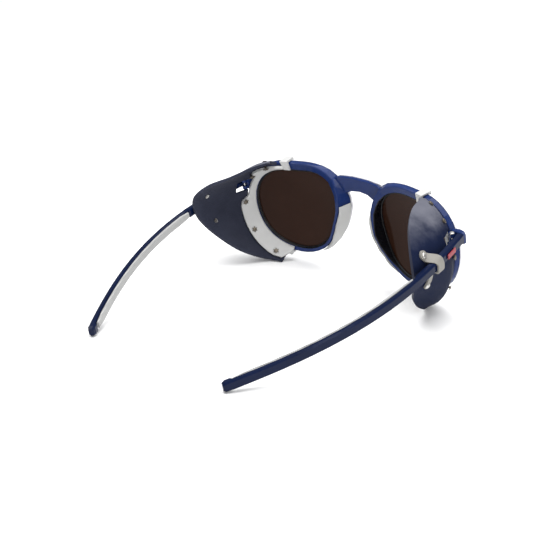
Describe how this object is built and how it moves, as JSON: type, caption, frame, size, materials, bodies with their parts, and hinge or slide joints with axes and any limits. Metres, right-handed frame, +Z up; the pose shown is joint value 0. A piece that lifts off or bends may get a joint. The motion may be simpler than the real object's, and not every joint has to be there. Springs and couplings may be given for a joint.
{
  "type": "glacier glasses",
  "caption": "Round dark-lens sunglasses with folding temples, leather side shields riveted to a holder behind each rim and straps that tie the shields to the temples.",
  "frame": {"origin": "on the table, under the middle of the whole object's box, as the open glasses rest on their lower side shields and temple tips", "axes": "+X to the wearer's left, -Y out through the front of the glasses, +Y along the temples to their tips, +Z up from the table"},
  "size_m": [0.1468, 0.1422, 0.0553],
  "materials": {
    "blue_acetate": "polished translucent acetate",
    "white_layer": "satin opaque laminate",
    "brown_lens": "very dark brown mineral lens, polished",
    "grey_rubber": "soft grey elastomer with fine diagonal ribs on the temples",
    "holder_plastic": "satin light grey",
    "navy_leather": "dark navy grain leather",
    "strap_leather": "light beige grey smooth leather",
    "steel": "satin",
    "red_badge": "plain printed red patch, no lettering"
  },
  "bodies": {
    "front": {"front_frame": "blue_acetate", "front_face_layer": "white_layer", "left_lens": "brown_lens", "left_nose_pad": "grey_rubber", "left_shield_holder": "holder_plastic", "left_shield_upper": "navy_leather", "left_shield_lower": "navy_leather", "left_holder_rivet_upper_1": "steel", "left_holder_rivet_upper_2": "steel", "left_holder_rivet_lower_1": "steel", "left_holder_rivet_lower_2": "steel", "left_holder_rivet_lower_3": "steel", "left_hinge_front_leaf": "blue_acetate", "left_hinge_screw": "steel", "right_lens": "brown_lens", "right_nose_pad": "grey_rubber", "right_shield_holder": "holder_plastic", "right_shield_upper": "navy_leather", "right_shield_lower": "navy_leather", "right_holder_rivet_upper_1": "steel", "right_holder_rivet_upper_2": "steel", "right_holder_rivet_lower_1": "steel", "right_holder_rivet_lower_2": "steel", "right_holder_rivet_lower_3": "steel", "right_hinge_front_leaf": "blue_acetate", "right_hinge_screw": "steel"},
    "left_temple_arm": {"left_temple": "blue_acetate", "left_temple_pad": "grey_rubber", "left_hinge_temple_leaf": "blue_acetate", "left_shield_wing": "navy_leather", "left_strap": "strap_leather", "left_strap_rivet_upper": "steel", "left_strap_rivet_lower": "steel", "left_badge": "red_badge"},
    "right_temple_arm": {"right_temple": "blue_acetate", "right_temple_pad": "grey_rubber", "right_hinge_temple_leaf": "blue_acetate", "right_shield_wing": "navy_leather", "right_strap": "strap_leather", "right_strap_rivet_upper": "steel", "right_strap_rivet_lower": "steel", "right_badge": "red_badge"}
  },
  "joints": [
    {"name": "left_temple_fold", "type": "hinge", "parent": "front", "child": "left_temple_arm", "pos_m": [0.0643, -0.05186, 0.03871], "axis": [0, 0.2198, 0.9755], "range_deg": [0, 70]},
    {"name": "right_temple_fold", "type": "hinge", "parent": "front", "child": "right_temple_arm", "pos_m": [-0.0643, -0.05186, 0.03871], "axis": [0, -0.2198, -0.9755], "range_deg": [0, 57]}
  ]
}
